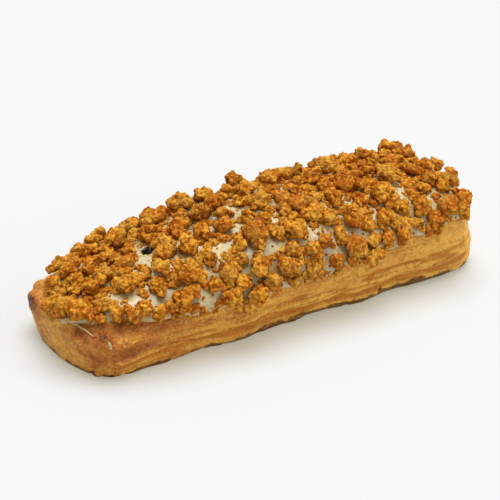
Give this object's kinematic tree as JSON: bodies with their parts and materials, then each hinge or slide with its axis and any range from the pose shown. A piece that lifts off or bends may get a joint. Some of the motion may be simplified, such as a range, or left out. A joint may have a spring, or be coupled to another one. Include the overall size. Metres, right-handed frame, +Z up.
{
  "type": "eclair",
  "caption": "Long choux bun with a flat underside and furrowed sides, its domed top covered with icing and a crust of coarse biscuit crumble.",
  "frame": {"origin": "middle of the flat underside", "axes": "+X along the log, -Y to its front side, +Z up"},
  "size_m": [0.1421, 0.0552, 0.0384],
  "materials": {
    "choux_crust": null,
    "icing_crumble": null
  },
  "bodies": {
    "root": {"choux_shell": "choux_crust", "icing_crumble": "icing_crumble"}
  },
  "joints": []
}
